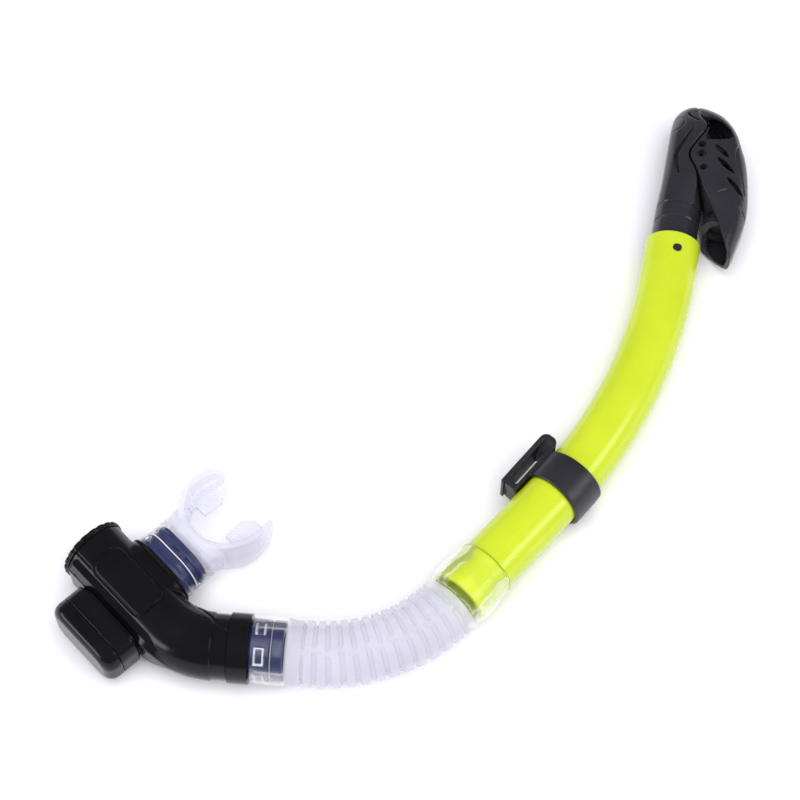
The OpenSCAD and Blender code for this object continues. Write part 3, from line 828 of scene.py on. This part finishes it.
def hose_radius(s, turn):
    """Outer radius at a way s from the spigot's rim and an angle round the hose."""
    total = HOSE_ROUTE.total
    ribs_from, ribs_to = 4.0, total - 24.5
    pitch = (ribs_to - ribs_from) / HOSE_RIBS
    phase = np.cos(2 * math.pi * ((s - ribs_from) / pitch - 0.5))
    groove_r, rib_rise, spine_r = 13.7, 1.85, 15.0
    rib = groove_r + rib_rise * ease(1.05 + 1.0 * phase)
    # spines bridge the grooves along three lines, stepped from groove to groove
    groove_number = np.round((s - ribs_from) / pitch)
    stagger = math.radians(7) * (groove_number % 2)
    spine = np.cos(3 * (turn - math.radians(103) - stagger))
    rib = rib + (spine_r - rib) * ease((spine - 0.94) / 0.04) * 0.8
    # cuff over the spigot, swelling over its rim and drawn in at its end
    grip = 15.2 + 1.2 * ease((3.5 - s) / 5) - 1.4 * ease((-8.5 - s) / 9)
    lower = total - s
    cuff = 15.6 + 0.4 * ease((lower - 1) / 3) - 0.3 * ease((6 - lower) / 6)
    cuff = cuff - 0.9 * ease((lower - 14) / 10)
    r = np.where(s < ribs_from, grip, np.where(s > ribs_to, cuff, rib))
    return r


def hose_inner(s, turn):
    """Inner radius: smooth bore, seats for the spigot's rim and the coupler."""
    lower = HOSE_ROUTE.total - s
    seat = np.where(s < 0, 14.37, HOSE_BORE_R)
    filled = window_frames(lower, math.pi / 2 - turn) | (np.abs(lower - 10.1) < 0.4)
    return np.where(lower < 16.2, np.where(filled, 13.7, 14.5), seat) + 0 * turn


def hose_rings(turns):
    """Ways and radii of the hose's rings: up its outside, then back along its inside."""
    step, lip = 0.45, 0.5
    first, last = -CUFF_TAIL, HOSE_ROUTE.total - HOSE_CLEARANCE
    stations = np.linspace(first, last, int((last - first) / step))
    rings = []
    for s in stations:
        end = min(s - first, last - s)
        inset = lip - math.sqrt(max(lip ** 2 - (lip - min(end, lip)) ** 2, 0))
        rings.append((s, hose_radius(s, turns) - inset))
    for s in stations[::-1]:
        rings.append((s, hose_inner(s, turns)))
    return rings


def hose_points(rings, turns):
    points = []
    for s, radius in rings:
        (x, y), turn = HOSE_ROUTE.at(s)
        across = radius * np.cos(turns)
        points.append(np.stack([
            x - across * math.sin(turn), y + across * math.cos(turn), radius * np.sin(turns),
        ], 1))
    return np.concatenate(points)


def ring_faces(count, around):
    """Quads between rings of points, the last ring joined to the first."""
    faces = []
    for i in range(count):
        a = i * around
        b = (i + 1) % count * around
        for j in range(around):
            k = (j + 1) % around
            faces.append((a + j, a + k, b + k, b + j))
    return faces


def hose_finish(ways, radii):
    """Finish of each face: 0 ribs, 1 clear cuffs, 2 bead over the coupler, painted whitish as a highlight, 3 cuff
    lining.
    """
    lower = HOSE_ROUTE.total - ways
    finish = np.where((ways < 5) | (lower < 17), 1, 0)
    # inner faces pressed into the coupler's frames and groove get the painted highlight
    finish = np.where((radii < 14) & (lower < 16.4), 2, finish)
    return np.where((radii < 14.5) & (ways < -0.3), 3, finish).astype(np.int32)


def make_hose():
    around = 144
    turns = np.linspace(0, 2 * math.pi, around, endpoint=False)
    rings = hose_rings(turns)
    points = SPIGOT.world(hose_points(rings, turns))
    hose = make_mesh("hose", points, ring_faces(len(rings), around), 50)
    # ribs, clear cuffs, painted highlight over the coupler, cuff lining
    for material in (MILKY, CLEAR, PAINTED_HIGHLIGHT, LINING):
        hose.data.materials.append(material)
    radii = np.concatenate([radius for _, radius in rings])
    ways = np.repeat([s for s, _ in rings], around)
    hose.data.polygons.foreach_set("material_index", hose_finish(ways, radii))
    near, _ = HOSE_ROUTE.at(4.0)
    far, _ = HOSE_ROUTE.at(HOSE_ROUTE.total - 22.0)
    place = [SPIGOT.world(np.array([[*p, 0.0]]))[0] for p in (near, far)]
    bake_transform(hose)
    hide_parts("flexible_hose")


# ---------------------------------------------------------------- coupler

def window_frames(d, angle):
    """True in the frame shaped windows round the coupler's band, d past the collar's face."""
    pitch = 2 * math.pi / COUPLER_WINDOWS
    angle = angle - math.radians(WINDOW_PHASE)
    off = (angle - pitch * np.round(angle / pitch)) * COUPLER_R
    outer = rounded(d - 4.9, off, 5.0, 9.2, 0.5)
    inner = rounded(d - 4.9, off, 3.0, 6.8, 0.3)
    return (outer < 0) & (inner > 0)


def coupler_field(x, y, z):
    rho = length(y, z)
    tube = both(rho - 12.9, span(x, -12.3, -5.5), 0.2)
    tube = either(tube, both(rho - 13.6, span(x, -5.6, -2)))
    tube = either(tube, both(rho - 13.1, span(x, -2.1, 1)))
    tube = either(tube, both(rho - COUPLER_R, span(x, 0.5, BAND_END), 0.4))
    tube = either(tube, both(rho - 13.4, span(x, 9, 12)))
    tube = either(tube, both(rho - COUPLER_R, span(x, *RING), 0.4))
    pocket = window_frames(x, np.arctan2(y, z)) & (rho > 13.3)
    tube = np.maximum(tube, np.where(pocket, 0.3, -9.0))
    seat = both(11.4 - rho, span(x, -10.3, -8.1))
    return without(tube, either(rho - 11, seat))


def make_coupler():
    dress(moulded("coupler", LEGWARD, coupler_field, (-13, -15, -15), (18, 15, 15), 0.4),
          "coupler", BLUE, "coupler_blue", "hose_coupler")


# ---------------------------------------------------------------- stage

def make_camera():
    """The camera stands over the snorkel's mouthpiece side."""
    elevation, heading, distance, lens = 62.0, 50.0, 1.106, 99.54
    aim_off = np.array([-14.5, 95.1])       # from the start of the barrel's bend
    aim = Vector((*((BEND_START + aim_off) * MM), 0))
    flat = distance * math.cos(math.radians(elevation))
    away = polar(flat, heading + 180)
    camera = bpy.data.objects.new("camera", bpy.data.cameras.new("camera"))
    camera.location = aim + Vector((*away, distance * math.sin(math.radians(elevation))))
    camera.rotation_mode = "QUATERNION"
    camera.rotation_quaternion = (aim - camera.location).to_track_quat("-Z", "Y")
    camera.data.lens = lens
    camera.data.sensor_width = 36
    camera.data.clip_start, camera.data.clip_end = 0.05, 20
    bpy.context.scene.collection.objects.link(camera)
    bpy.context.scene.camera = camera


def area_light(name, azimuth, elevation, distance, size, power):
    light = bpy.data.lights.new(name, "AREA")
    light.shape = "RECTANGLE"
    light.size, light.size_y = size
    light.energy = power
    obj = bpy.data.objects.new(name, light)
    a, e = math.radians(azimuth), math.radians(elevation)
    obj.location = distance * Vector((
        math.cos(a) * math.cos(e), math.sin(a) * math.cos(e), math.sin(e)))
    obj.rotation_mode = "QUATERNION"
    obj.rotation_quaternion = (-obj.location).to_track_quat("-Z", "Y")
    bpy.context.scene.collection.objects.link(obj)
    return obj


def make_stage():
    size = 6.0
    mesh = bpy.data.meshes.new("floor")
    mesh.from_pydata([(-size, -size, 0), (size, -size, 0), (size, size, 0), (-size, size, 0)],
                     [], [(0, 1, 2, 3)])
    floor = bpy.data.objects.new("floor", mesh)
    bpy.context.scene.collection.objects.link(floor)
    material, nodes, links, surface = shader("floor", (0.93, 0.93, 0.95), 0.9)
    tone = ranged(nodes, links, noise(nodes, links, 6), 0, 1)
    links.new(toned(nodes, links, tone, (0.925, 0.92, 0.95), (0.94, 0.935, 0.96)),
              surface.inputs["Base Color"])
    floor.data.materials.append(material)
    world = bpy.data.worlds.new("studio")
    world.use_nodes = True
    world.node_tree.nodes["Background"].inputs["Color"].default_value = (0.88, 0.86, 1, 1)
    world.node_tree.nodes["Background"].inputs["Strength"].default_value = 0.3
    bpy.context.scene.world = world
    key = area_light("key", 232, 76, 2.2, (2.4, 2.4), 60)
    key.visible_glossy = False
    area_light("left", 162, 13, 1.6, (1.3, 0.4), 10)
    area_light("strip", -58, 31, 1.5, (0.9, 0.5), 5)
    bpy.context.scene.view_settings.view_transform = "Standard"


dress_nodes()
make_chamber()
make_keeper()
make_dry_top()
make_coupler()
make_hose()
make_camera()
make_stage()
